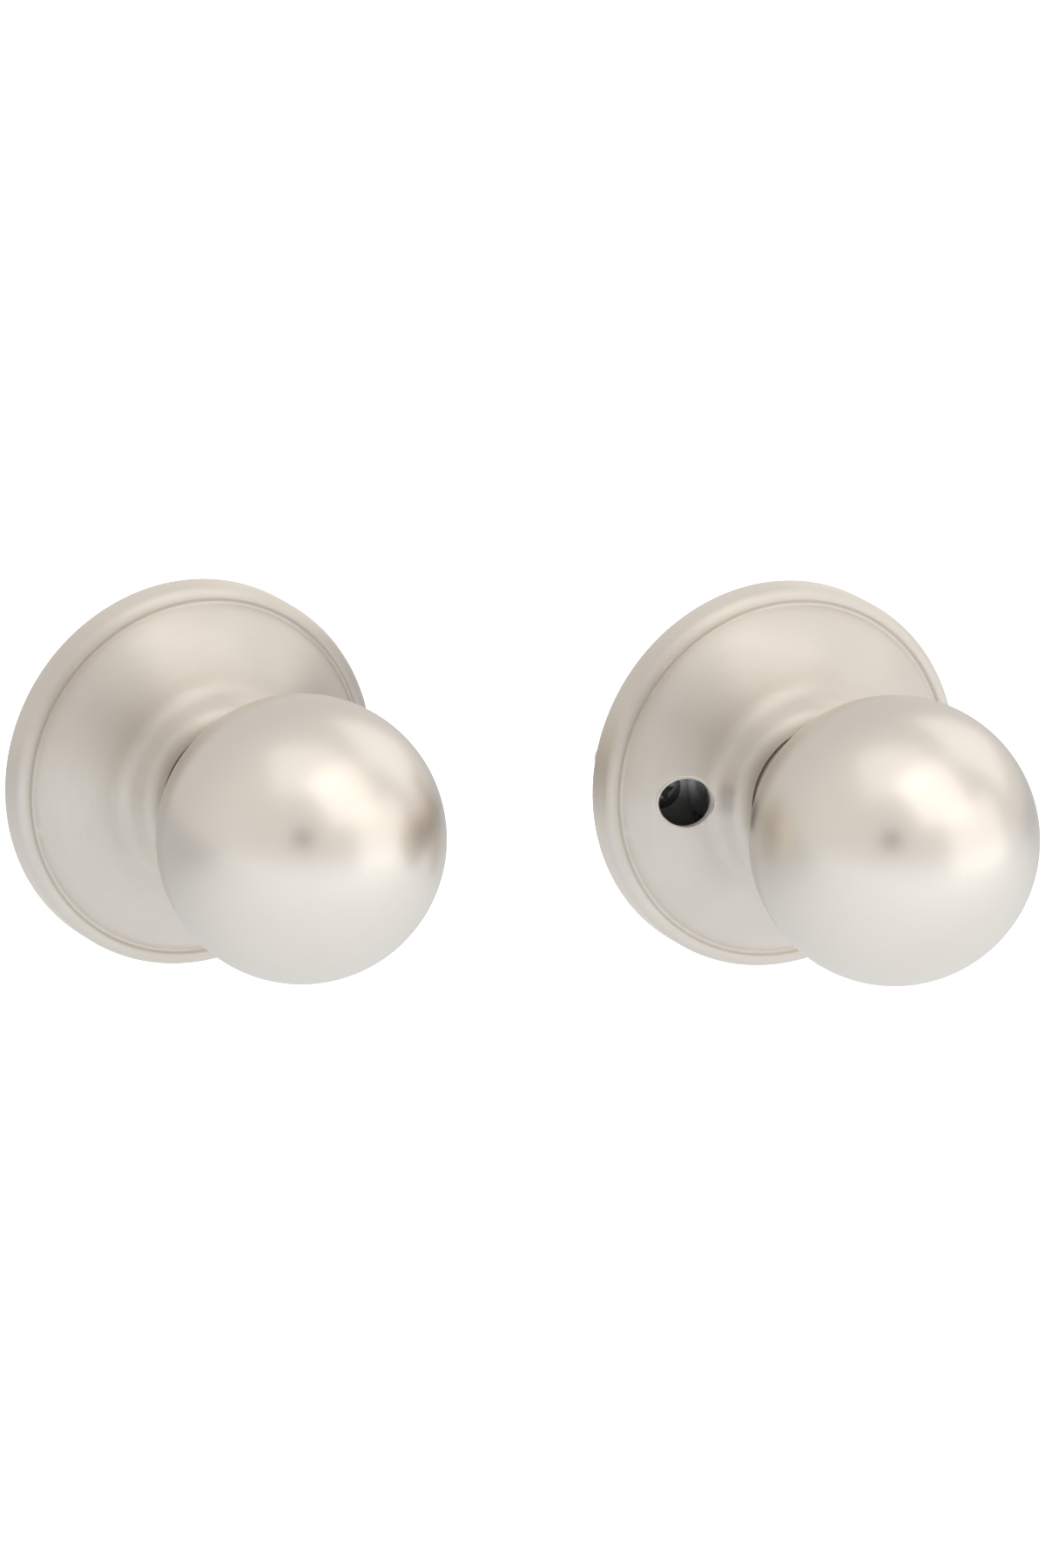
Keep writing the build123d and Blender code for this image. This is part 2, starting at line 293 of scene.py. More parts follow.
@dataclass(frozen=True)
class Finish:
    """A metal or plastic finish: a base colour, a second tone in patches, and a surface relief."""

    name: str
    colour: Colour
    patch_colour: Colour
    worn_colour: Colour
    metallic: float
    roughness: float
    patch_roughness: float
    worn_roughness: float
    relief: float
    relief_scale: float
    patch_scale: float = 45.0
    patch_coverage: float = 0.5
    wear_start: float = 0.53
    wear_end: float = 0.66
    turned: bool = False
    anisotropy: float = 0.0

    def material(self, groups: SharedGroups, centre: Vector | None = None, label: str = ""
                 ) -> bpy.types.Material:
        """Builds the material.

        Args:
            groups: the shared shader groups.
            centre: a point on the axis that turned lines run round.
            label: added to the material's name when a finish is made for one half.

        Returns:
            The new material.
        """
        made = bpy.data.materials.new(self.name + label)
        made.use_nodes = True
        sheet = NodeSheet(made.node_tree)
        patches = sheet.add("ShaderNodeGroup", node_tree=groups.handling)
        patches.inputs["Scale"].default_value = self.patch_scale
        patches.inputs["Coverage"].default_value = self.patch_coverage
        wear = sheet.add("ShaderNodeGroup", node_tree=groups.edge_wear)
        wear.inputs["Start"].default_value = self.wear_start
        wear.inputs["End"].default_value = self.wear_end
        patch, worn = patches.outputs["Mask"], wear.outputs["Mask"]
        toned = sheet.mixed(patch, self.colour, self.patch_colour)
        colour = sheet.mixed(worn, toned, self.worn_colour)
        grain = self._grain(sheet, groups, centre)
        base = sheet.span(patch, 0.0, 1.0, self.roughness, self.patch_roughness)
        varied = sheet.math("ADD", base, sheet.span(grain, 0.3, 0.7, -0.02, 0.02))
        change = sheet.math("MULTIPLY", worn, self.worn_roughness - self.roughness)
        rough = sheet.math("ADD", varied, change, clamp=True)
        bump = sheet.add("ShaderNodeBump", {"Height": grain, "Strength": 1.0, "Distance": self.relief})
        shader = sheet.add("ShaderNodeBsdfPrincipled", {
            "Base Color": colour, "Roughness": rough, "Normal": bump.outputs["Normal"],
            "Metallic": self.metallic, "Anisotropic": self.anisotropy, "Anisotropic Rotation": ACROSS_LINES,
        })
        if self.anisotropy:
            tangent = sheet.add("ShaderNodeTangent", direction_type="RADIAL", axis="Y")
            made.node_tree.links.new(tangent.outputs[0], shader.inputs["Tangent"])
        sheet.add("ShaderNodeOutputMaterial", {"Surface": shader.outputs["BSDF"]})
        return made

    def _grain(self, sheet: NodeSheet, groups: SharedGroups, centre: Vector | None
               ) -> bpy.types.NodeSocket:
        """The relief's height: lines round an axis, or an even tooth."""
        if self.turned and centre is not None:
            node = sheet.add("ShaderNodeGroup", node_tree=groups.turned_grain)
            node.inputs["Centre"].default_value = centre
            node.inputs["Lines"].default_value = self.relief_scale
        else:
            node = sheet.add("ShaderNodeGroup", node_tree=groups.fine_tooth)
            node.inputs["Scale"].default_value = self.relief_scale
        return node.outputs["Height"]


SATIN_BALL = Finish(
    "satin_nickel_ball", (0.700, 0.648, 0.583, 1), (0.690, 0.636, 0.568, 1), (0.76, 0.71, 0.65, 1),
    metallic=1.0, roughness=0.30, patch_roughness=0.325, worn_roughness=0.27, relief=0.0000012,
    relief_scale=5200.0, patch_scale=38.0)
# The rose's colours are a touch darker than the ball's, a painted shade: the rose and the ball are one satin
# nickel, and only the rougher, brushed surface is the rose's own.
SHADED_SATIN_ROSE = Finish(
    "satin_nickel_rose", (0.694, 0.642, 0.578, 1), (0.682, 0.629, 0.563, 1), (0.75, 0.70, 0.64, 1),
    metallic=1.0, roughness=0.46, patch_roughness=0.48, worn_roughness=0.41, relief=0.0000010,
    relief_scale=7000.0, turned=True, anisotropy=0.9)
ZINC_PLATE = Finish(
    "zinc_plated_steel", (0.62, 0.63, 0.64, 1), (0.55, 0.56, 0.55, 1), (0.72, 0.72, 0.71, 1),
    metallic=1.0, roughness=0.34, patch_roughness=0.44, worn_roughness=0.26, relief=0.000004,
    relief_scale=1800.0, patch_scale=120.0)
DIE_CAST = Finish(
    "die_cast_zinc", (0.43, 0.44, 0.45, 1), (0.36, 0.36, 0.37, 1), (0.55, 0.56, 0.57, 1),
    metallic=1.0, roughness=0.50, patch_roughness=0.60, worn_roughness=0.36, relief=0.000009,
    relief_scale=1500.0, patch_scale=160.0)
SINTERED_BRASS = Finish(
    "sintered_brass", (0.62, 0.45, 0.21, 1), (0.45, 0.31, 0.14, 1), (0.78, 0.61, 0.33, 1),
    metallic=1.0, roughness=0.42, patch_roughness=0.55, worn_roughness=0.28, relief=0.000006,
    relief_scale=3500.0, patch_scale=200.0)
SPRING_STEEL = Finish(
    "spring_steel", (0.34, 0.34, 0.35, 1), (0.25, 0.25, 0.26, 1), (0.55, 0.55, 0.55, 1),
    metallic=1.0, roughness=0.32, patch_roughness=0.42, worn_roughness=0.24, relief=0.000002,
    relief_scale=4000.0, patch_scale=250.0)
BLACK_OXIDE = Finish(
    "black_oxide_steel", (0.075, 0.075, 0.08, 1), (0.11, 0.10, 0.095, 1), (0.42, 0.41, 0.40, 1),
    metallic=1.0, roughness=0.42, patch_roughness=0.52, worn_roughness=0.30, relief=0.000004,
    relief_scale=2500.0, patch_scale=220.0)
ACETAL = Finish(
    "natural_acetal", (0.80, 0.79, 0.75, 1), (0.74, 0.72, 0.66, 1), (0.85, 0.84, 0.80, 1),
    metallic=0.0, roughness=0.45, patch_roughness=0.52, worn_roughness=0.38, relief=0.000003,
    relief_scale=2500.0, patch_scale=180.0)

PLAIN_FINISHES = {
    Slot.ZINC_PLATE: ZINC_PLATE,
    Slot.DIE_CAST: DIE_CAST,
    Slot.BRASS: SINTERED_BRASS,
    Slot.SPRING: SPRING_STEEL,
    Slot.BLACK: BLACK_OXIDE,
    Slot.ACETAL: ACETAL,
}


class FinishRack:
    """Every material of the set, made once each."""

    def __init__(self) -> None:
        """Makes the shared groups and the materials that don't depend on a half."""
        self.groups = SharedGroups()
        self.plain = {slot: finish.material(self.groups) for slot, finish in PLAIN_FINISHES.items()}
        self.nickels: dict[tuple[Finish, Side], bpy.types.Material] = {}

    def nickel(self, finish: Finish, centre: Vector, side: Side) -> bpy.types.Material:
        """The nickel finish with its lines centred on one half's axis, made once for each half."""
        if (finish, side) not in self.nickels:
            self.nickels[finish, side] = finish.material(self.groups, centre, f"_{side.value}")
        return self.nickels[finish, side]


# -----------------------------------------------------------------------------
# Mesh work
# -----------------------------------------------------------------------------


@dataclass
class Section:
    """A half section about an axis along Z: corners as (radius, height), some rounded, some joined by arcs.

    Rounds and arcs are given by corner number. An arc runs from its corner to the next one, and its radius is
    above 0 where its centre is on the left of that way.
    """

    corners: Sequence[Point]
    rounds: dict[int, float] = field(default_factory=dict)
    arcs: dict[int, float] = field(default_factory=dict)
    segments: int = 8
    longest: float = 0.9 * MM

    def spun(self, steps: int = 192) -> bmesh.types.BMesh:
        """Draws the arcs, rounds the corners, divides long stretches and spins the section a full turn.

        Args:
            steps: facets round the axis.

        Returns:
            The closed shape, with its normals outwards.
        """
        work = bmesh.new()
        verts = [work.verts.new((radius, 0.0, height)) for radius, height in self.corners]
        for index, (first, second) in enumerate(zip(verts, verts[1:] + verts[:1])):
            if index in self.arcs:
                self._arc(work, first, second, self.arcs[index])
            elif first.co.x > WELD or second.co.x > WELD:
                work.edges.new((first, second))
        for index, radius in self.rounds.items():
            self._round(work, verts[index], radius)
        for edge in [edge for edge in work.edges if edge.calc_length() > self.longest]:
            bmesh.ops.subdivide_edges(work, edges=[edge], cuts=int(edge.calc_length() / self.longest))
        turns = steps
        bmesh.ops.spin(work, geom=work.verts[:] + work.edges[:], cent=(0, 0, 0), axis=(0, 0, 1),
                       angle=FULL_TURN, steps=turns, use_merge=True)
        bmesh.ops.remove_doubles(work, verts=work.verts[:], dist=WELD)
        bmesh.ops.recalc_face_normals(work, faces=work.faces[:])
        return work

    def _arc(self, work: bmesh.types.BMesh, first: bmesh.types.BMVert, second: bmesh.types.BMVert,
             radius: float) -> None:
        """Joins two corners by an arc.

        Args:
            work: the bmesh that holds them.
            first: the arc's first corner.
            second: its last.
            radius: its radius, above 0 where its centre is on the left of the way.
        """
        way = second.co - first.co
        left = Vector((-way.z, 0.0, way.x)).normalized()
        offset = math.copysign(math.sqrt(radius ** 2 - way.length_squared / 4), radius)
        centre = (first.co + second.co) / 2 + left * offset
        start, stop = first.co - centre, second.co - centre
        angle = math.remainder(math.atan2(start.z, start.x) - math.atan2(stop.z, stop.x), FULL_TURN)
        steps = math.ceil(abs(angle * radius) / self.longest)
        drawn = bmesh.ops.spin(work, geom=[first], cent=centre, axis=(0, 1, 0), angle=angle, steps=steps)
        last = next(item for item in drawn["geom_last"] if isinstance(item, bmesh.types.BMVert))
        bmesh.ops.weld_verts(work, targetmap={last: second})

    def _round(self, work: bmesh.types.BMesh, corner: bmesh.types.BMVert, radius: float) -> None:
        """Rounds one corner.

        Args:
            work: the bmesh that holds it.
            corner: the corner's vertex.
            radius: the round's radius.
        """
        before, after = (edge.other_vert(corner).co - corner.co for edge in corner.link_edges)
        reach = radius * math.tan((math.pi - before.angle(after)) / 2)
        bmesh.ops.bevel(work, geom=[corner], offset=reach, offset_type="OFFSET", segments=self.segments,
                        profile=0.5, affect="VERTICES", material=-1)


def finished(work: bmesh.types.BMesh, name: str, place: Matrix, sharp_deg: float = 32.0) -> bpy.types.Object:
    """Turns a bmesh into an object at the origin, with its place in its mesh.

    Args:
        work: the shape, which is freed.
        name: the piece's name.
        place: where the shape stands.
        sharp_deg: the angle past which an edge is shaded sharp.

    Returns:
        The new object, linked to the scene.
    """
    mesh = bpy.data.meshes.new(name)
    work.to_mesh(mesh)
    work.free()
    mesh.transform(place)
    mesh.shade_smooth()
    mesh.set_sharp_from_angle(angle=math.radians(sharp_deg))
    piece = bpy.data.objects.new(name, mesh)
    bpy.context.scene.collection.objects.link(piece)
    return piece


def merged(shapes: Sequence[bmesh.types.BMesh]) -> bmesh.types.BMesh:
    """Joins several bmeshes into one.

    Args:
        shapes: the bmeshes, which are freed.

    Returns:
        The joined bmesh.
    """
    whole = bmesh.new()
    for shape in shapes:
        holder = bpy.data.meshes.new("holder")
        shape.to_mesh(holder)
        shape.free()
        whole.from_mesh(holder)
        bpy.data.meshes.remove(holder)
    return whole


def cut(shape: bmesh.types.BMesh, cutter: bmesh.types.BMesh) -> bmesh.types.BMesh:
    """Takes one closed shape out of another.

    Args:
        shape: the shape that is cut; freed.
        cutter: the shape that is taken away; freed.

    Returns:
        What is left.
    """
    objects = []
    for work, name in ((shape, "cut_shape"), (cutter, "cut_tool")):
        mesh = bpy.data.meshes.new(name)
        work.to_mesh(mesh)
        work.free()
        thing = bpy.data.objects.new(name, mesh)
        bpy.context.scene.collection.objects.link(thing)
        objects.append(thing)
    target, tool = objects
    change = target.modifiers.new("cut", "BOOLEAN")
    change.operation, change.solver, change.object = "DIFFERENCE", "EXACT", tool
    graph = bpy.context.evaluated_depsgraph_get()
    left = bmesh.new()
    left.from_mesh(target.evaluated_get(graph).data)
    for thing in objects:
        mesh = thing.data
        bpy.data.objects.remove(thing)
        bpy.data.meshes.remove(mesh)
    return left


class ShapeShelf:
    """Keeps shapes that both halves use, so that each is made once."""

    def __init__(self) -> None:
        """Starts with nothing kept."""
        self.kept: dict[str, bpy.types.Mesh] = {}

    def copy(self, name: str, make: Callable[[], bmesh.types.BMesh]) -> bmesh.types.BMesh:
        """Gives a fresh copy of a shape.

        Args:
            name: what the shape is kept as.
            make: builds the shape, the first time it is asked for.

        Returns:
            The copy.
        """
        if name not in self.kept:
            self.kept[name] = bpy.data.meshes.new("kept_" + name)
            shape = make()
            shape.to_mesh(self.kept[name])
            shape.free()
        work = bmesh.new()
        work.from_mesh(self.kept[name])
        return work

    def clear(self) -> None:
        """Removes what was kept."""
        for mesh in self.kept.values():
            bpy.data.meshes.remove(mesh)
        self.kept.clear()


def drum(radius: float, low: float, high: float, segments: int = 96) -> bmesh.types.BMesh:
    """A closed cylinder about the Z axis.

    Args:
        radius: its radius.
        low: its lower end's height.
        high: its upper end's height.
        segments: the facets round it.

    Returns:
        The cylinder.
    """
    work = bmesh.new()
    bmesh.ops.create_cone(work, cap_ends=True, segments=segments, radius1=radius, radius2=radius,
                          depth=high - low, matrix=Matrix.Translation((0, 0, (low + high) / 2)))
    return work


def shifted(work: bmesh.types.BMesh, matrix: Matrix) -> bmesh.types.BMesh:
    """Moves or turns a bmesh and gives it back."""
    bmesh.ops.transform(work, matrix=matrix, verts=work.verts[:])
    return work


def screw_thread(radius: float, depth: float, pitch: float, low: float, high: float) -> bmesh.types.BMesh:
    """A helical ridge round the Z axis, closed at both ends.

    Args:
        radius: the crest's radius.
        depth: the crest's height over the root, where a core covers it.
        pitch: the rise of one turn.
        low: where the thread starts.
        high: where it ends.

    Returns:
        The ridge.
    """
    steps = 24
    turns = int((high - low) / pitch) - 1
    root = radius - depth
    work = bmesh.new()
    outline = [(root, 0.0), (radius, 0.38 * pitch), (radius, 0.5 * pitch), (root, 0.88 * pitch),
               (root - 0.3 * depth, 0.44 * pitch)]
    verts = [work.verts.new((r, 0.0, low + z)) for r, z in outline]
    start = work.faces.new(verts)
    bmesh.ops.spin(work, geom=[start], cent=(0, 0, 0), axis=(0, 0, 1), dvec=(0, 0, pitch / steps),
                   angle=FULL_TURN * turns, steps=steps * turns)
    bmesh.ops.recalc_face_normals(work, faces=work.faces[:])
    return work


# -----------------------------------------------------------------------------
# The two halves
# -----------------------------------------------------------------------------


@dataclass(frozen=True)
class SmallPart:
    """A small CAD node whose edges are broken by a given width."""

    node: str
    body: Body
    slot: Slot
    width: float
    least_angle: float = math.radians(50)

    def softened(self, source: bpy.types.Mesh) -> bmesh.types.BMesh:
        """Copies the node's mesh, joins its loose triangles and bevels its sharp edges.

        Args:
            source: the node's mesh, which is left alone.

        Returns:
            The copy.
        """
        work = bmesh.new()
        work.from_mesh(source)
        bmesh.ops.remove_doubles(work, verts=work.verts[:], dist=WELD)
        bmesh.ops.dissolve_limit(work, angle_limit=math.radians(1.0), verts=work.verts[:], edges=work.edges[:])
        sharp = [edge for edge in work.edges if edge.is_manifold and edge.calc_face_angle() > self.least_angle]
        bmesh.ops.bevel(work, geom=sharp, offset=self.width, offset_type="OFFSET", segments=2, profile=0.5,
                        affect="EDGES", material=-1, clamp_overlap=True)
        return work


@dataclass
class Half:
    """What both halves have: rose, ball, shank and the chassis. Heights are from the door's face."""

    side: Side
    rack: FinishRack
    shelf: ShapeShelf
    rose_wall: float = 1.2 * MM
    rim_top: float = 5.9 * MM
    rim_round: float = 1.7 * MM
    rim_flat_r: float = 31.9 * MM
    crease: Point = (31.2 * MM, 5.2 * MM)
    crease_round: float = 0.5 * MM
    hub_foot: Point = (17.0 * MM, 13.7 * MM)
    face_radius: float = 18.9 * MM
    hub_foot_round: float = 3.0 * MM
    hub_r: float = 16.3 * MM
    hub_shoulder_round: float = 2.3 * MM
    hub_mouth_r: float = 13.3 * MM
    hub_lip_round: float = 0.5 * MM
    rose_facets: int = 256
    ball_wall: float = 1.2 * MM
    ball_lip_round: float = 0.35 * MM
    ball_facets: int = 224
    neck_r: float = 12.9 * MM
    neck_wall: float = 1.5 * MM
    neck_shoulder: float = 12.2 * MM
    shoulder_round: float = 0.3 * MM
    journal_r: float = 10.0 * MM
    journal_round: float = 0.4 * MM
    ring_groove_r: float = 9.0 * MM
    shank_bore_r: float = 7.5 * MM
    bore_round: float = 0.2 * MM
    bore_cone: Span = (14.2 * MM, 17.2 * MM)
    plate_back: float = 0.3 * MM
    plate_wall: float = 1.2 * MM
    plate_bore_r: float = 11.4 * MM
    plate_bore_round: float = 0.25 * MM
    plate_rim_round: float = 0.35 * MM
    spigot_r: float = 26.6 * MM
    spigot_bend: float = 0.8 * MM
    spigot_tip_rounds: Span = (0.3 * MM, 0.5 * MM)
    fastener_offset: float = 21.9 * MM
    plate_hole_r: float = 2.5 * MM
    turned_facets: int = 160
    made: list[bpy.types.Object] = field(default_factory=list)

    def __post_init__(self) -> None:
        """Reads the half's axis and main sizes from the frame."""
        low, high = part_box(self.node("rose"))
        self.axis_point = Vector(((low.x + high.x) / 2, high.y, (low.z + high.z) / 2))
        self.place = Matrix.Translation(self.axis_point) @ Matrix.Rotation(math.pi / 2, 4, "X")
        self.rose_r = (high.x - low.x) / 2
        self.hub_top = high.y - low.y
        ball_low, ball_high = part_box(self.node("ball_shell"))
        self.ball_r = (ball_high.x - ball_low.x) / 2
        self.ball_centre = self.axis_point.y - ball_low.y - self.ball_r
        self.knob_body = Body.EXTERIOR_KNOB if self.side is Side.EXTERIOR else Body.INTERIOR_KNOB

    def node(self, name: str) -> str:
        """The CAD node's full name on this half."""
        return f"{self.side.value}_{name}"

    def reach(self, name: str) -> tuple[float, float]:
        """The heights, from the door's face, of a node's inner and outer ends."""
        low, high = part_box(self.node(name))
        return self.axis_point.y - high.y, self.axis_point.y - low.y

    def show(self, piece: bpy.types.Object, body: Body, slot: Slot, material: bpy.types.Material,
             node: str) -> None:
        """Dresses a piece, sets it on its body and hides the CAD node that it stands for.

        Args:
            piece: the finished piece.
            body: the body that it rides on.
            slot: the record's slot for its finish; not used.
            material: its material.
            node: the short name of the CAD node that it replaces.
        """
        piece.data.materials.clear()
        piece.data.materials.append(material)
        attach(piece, body.value)
        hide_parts(self.node(node))
        self.made.append(piece)
        LOG.info("%s: %d faces on %s", piece.name, len(piece.data.polygons), body.value)

    def face_centre(self) -> Vector:
        """The centre, in the section, of the rose's domed face."""
        outer, inner = Vector(self.crease), Vector(self.hub_foot)
        way = inner - outer
        inwards = Vector((-way.y, way.x)).normalized()
        return (outer + inner) / 2 + inwards * math.sqrt(self.face_radius ** 2 - way.length_squared / 4)

    def face_height(self, radius: float) -> float:
        """The height of the rose's domed face at a radius."""
        centre = self.face_centre()
        return centre.y + math.sqrt(self.face_radius ** 2 - (radius - centre.x) ** 2)

    def foot_round_ends(self) -> tuple[Vector, Vector]:
        """Where the round at the hub's foot meets the domed face and the hub's side."""
        foot, top, centre = Vector(self.hub_foot), Vector((self.hub_r, self.hub_top)), self.face_centre()
        up = (top - foot).normalized()
        out = Vector((up.y, -up.x))
        start = foot + out * self.hub_foot_round - centre
        reach = self.face_radius + self.hub_foot_round
        rise = math.sqrt(start.dot(up) ** 2 - start.length_squared + reach ** 2) - start.dot(up)
        middle = centre + start + up * rise
        return centre + (middle - centre) * (self.face_radius / reach), middle - out * self.hub_foot_round

    def rose_section(self) -> Section:
        """The pressed rose's wall in section: rim, crease, domed face and hub, and back down inside."""
        wall = self.rose_wall
        centre, inner_face = self.face_centre(), self.face_radius - wall
        face_end, side_start = self.foot_round_ends()
        inner_foot, inner_crease = (
            (radius, centre.y + math.sqrt(inner_face ** 2 - (radius - centre.x) ** 2))
            for radius in (self.hub_foot[0] - wall, self.crease[0] - 0.2 * wall))
        return Section([
            (self.rose_r, 0.0), (self.rose_r, self.rim_top), (self.rim_flat_r, self.rim_top), self.crease,
            tuple(face_end), tuple(side_start), (self.hub_r, self.hub_top), (self.hub_mouth_r, self.hub_top),
            (self.hub_mouth_r, self.hub_top - wall), (self.hub_r - wall, self.hub_top - wall), inner_foot,
            inner_crease, (self.rim_flat_r + 0.4 * wall, self.rim_top - wall),
            (self.rose_r - wall, self.rim_top - wall), (self.rose_r - wall, 0.0),
        ], rounds={1: self.rim_round, 2: self.rim_round / 3, 3: self.crease_round, 6: self.hub_shoulder_round,
                   7: self.hub_lip_round},
            arcs={3: self.face_radius, 4: -self.hub_foot_round, 10: -inner_face}, longest=1.1 * MM)

    def build_rose(self) -> None:
        """The pressed rose."""
        work = self.pierced(self.shelf.copy("rose", lambda: self.rose_section().spun(self.rose_facets)))
        # The rose's finish carries a painted shade: its colour is a touch darker than the ball's.
        material = self.rack.nickel(SHADED_SATIN_ROSE, self.axis_point, self.side)
        piece = finished(work, self.node("rose_shell"), self.place)
        self.show(piece, Body.DOOR_SIDE, Slot.NICKEL, material, "rose")

    def pierced(self, work: bmesh.types.BMesh) -> bmesh.types.BMesh:
        """The rose as it leaves the press; the exterior one has no holes."""
        return work

    def ball_section(self) -> Section:
        """The ball's wall, with its mouth closed in to the shank."""
        middle, inner_r = self.ball_centre, self.ball_r - self.ball_wall
        mouth, inner_mouth = (math.sqrt(radius ** 2 - self.neck_r ** 2) for radius in (self.ball_r, inner_r))
        return Section([
            (0, middle + self.ball_r), (self.neck_r, middle - mouth), (self.neck_r, middle - inner_mouth),
            (0, middle + inner_r),
        ], rounds={1: self.ball_lip_round}, arcs={0: -self.ball_r, 2: inner_r}, segments=4, longest=0.6 * MM)

    def build_knob(self) -> None:
        """The ball, drawn in at its mouth round the shank that it is pressed on."""
        work = self.shelf.copy("ball", lambda: self.ball_section().spun(self.ball_facets))
        piece = finished(work, self.node("ball"), self.place)
        material = self.rack.nickel(SATIN_BALL, self.axis_point, self.side)
        self.show(piece, self.knob_body, Slot.NICKEL, material, "ball_shell")

    def shank_section(self) -> Section:
        """The turned shank's wall: journal, groove for the retaining ring, shoulder and neck."""
        inner_end, top = self.reach("shank")
        ring_low, ring_high = self.reach("retaining_ring")
        shoulder, neck_bore_r = self.neck_shoulder, self.neck_r - self.neck_wall
        cone_low, cone_high = self.bore_cone
        return Section([
            (self.shank_bore_r, inner_end), (self.journal_r, inner_end), (self.journal_r, ring_low),
            (self.ring_groove_r, ring_low), (self.ring_groove_r, ring_high), (self.journal_r, ring_high),
            (self.journal_r, shoulder), (self.neck_r, shoulder), (self.neck_r, top), (neck_bore_r, top),
            (neck_bore_r, cone_high), (self.shank_bore_r, cone_low),
        ], rounds={0: self.bore_round, 1: self.journal_round, 7: self.shoulder_round}, segments=4)

    def build_shank(self) -> None:
        """The turned shank."""
        work = self.shelf.copy("shank", lambda: self.shank_section().spun(self.turned_facets))
        piece = finished(work, self.node("turned_shank"), self.place)
        # The shank wears the rose's finish, with its painted shade.
        material = self.rack.nickel(SHADED_SATIN_ROSE, self.axis_point, self.side)
        self.show(piece, self.knob_body, Slot.NICKEL, material, "shank")

    def plate_section(self) -> Section:
        """The mounting plate's wall: a disc with the spigot standing out of its back."""
        spigot_end, top = self.reach("mounting_plate")
        low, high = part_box(self.node("mounting_plate"))
        outer, back, spigot_inner = (high.x - low.x) / 2, self.plate_back, self.spigot_r - self.plate_wall
        tip_inner, tip_outer = self.spigot_tip_rounds
        return Section([
            (self.plate_bore_r, back), (spigot_inner, back), (spigot_inner, spigot_end),
            (self.spigot_r, spigot_end), (self.spigot_r, back), (outer, back), (outer, top),
            (self.plate_bore_r, top),
        ], rounds={0: self.plate_bore_round, 1: self.spigot_bend, 2: tip_inner, 3: tip_outer,
                   4: self.spigot_bend, 5: self.plate_rim_round, 6: self.plate_rim_round,
                   7: self.plate_bore_round}, segments=4, longest=2.0 * MM)

    def build_plate(self) -> None:
        """The mounting plate, with its two fastener holes."""
        work = self.plate_section().spun(self.turned_facets)
        spigot_end, top = self.reach("mounting_plate")
        for side in (-1, 1):
            shift = Matrix.Translation((side * self.fastener_offset, 0, 0))
            work = cut(work, shifted(drum(self.plate_hole_r, spigot_end, 2 * top, 48), shift))
        piece = finished(work, self.node("backplate"), self.place)
        self.show(piece, Body.DOOR_SIDE, Slot.ZINC_PLATE, self.rack.plain[Slot.ZINC_PLATE], "mounting_plate")

    def small_parts(self) -> list[SmallPart]:
        """The small parts whose edges show at the back."""
        return [
            SmallPart("spring_housing", Body.DOOR_SIDE, Slot.ZINC_PLATE, 0.15 * MM),
            SmallPart("bushing", Body.DOOR_SIDE, Slot.BRASS, 0.15 * MM),
            SmallPart("retaining_ring", self.knob_body, Slot.SPRING, 0.08 * MM),
        ]

    def build_small_parts(self) -> None:
        """Replaces small CAD nodes by copies with their edges broken, as real pressed or cast pieces have."""
        for part in self.small_parts():
            piece = finished(part.softened(frame["nodes"][self.node(part.node)].data),
                             self.node(part.node + "_softened"), Matrix.Identity(4))
            self.show(piece, part.body, part.slot, self.rack.plain[part.slot], part.node)

    def dress_chassis(self) -> None:
        """Gives the CAD nodes that stay their finishes."""
        for part in frame["record"]["subparts"]:
            slot = Slot(part["material_slot"])
            thing = frame["nodes"][part["node"]]
            if part["node"].startswith(self.side.value) and not thing.hide_render and slot in self.rack.plain:
                thing.data.materials.clear()
                thing.data.materials.append(self.rack.plain[slot])


@dataclass
class ExteriorHalf(Half):
    """The half with the spindle and the threaded posts."""

    def small_parts(self) -> list[SmallPart]:
        """The small parts, with the spindle and the posts."""
        return super().small_parts() + [
            SmallPart("spindle", self.knob_body, Slot.ZINC_PLATE, 0.4 * MM),
            SmallPart("threaded_posts", Body.DOOR_SIDE, Slot.ZINC_PLATE, 0.3 * MM),
        ]


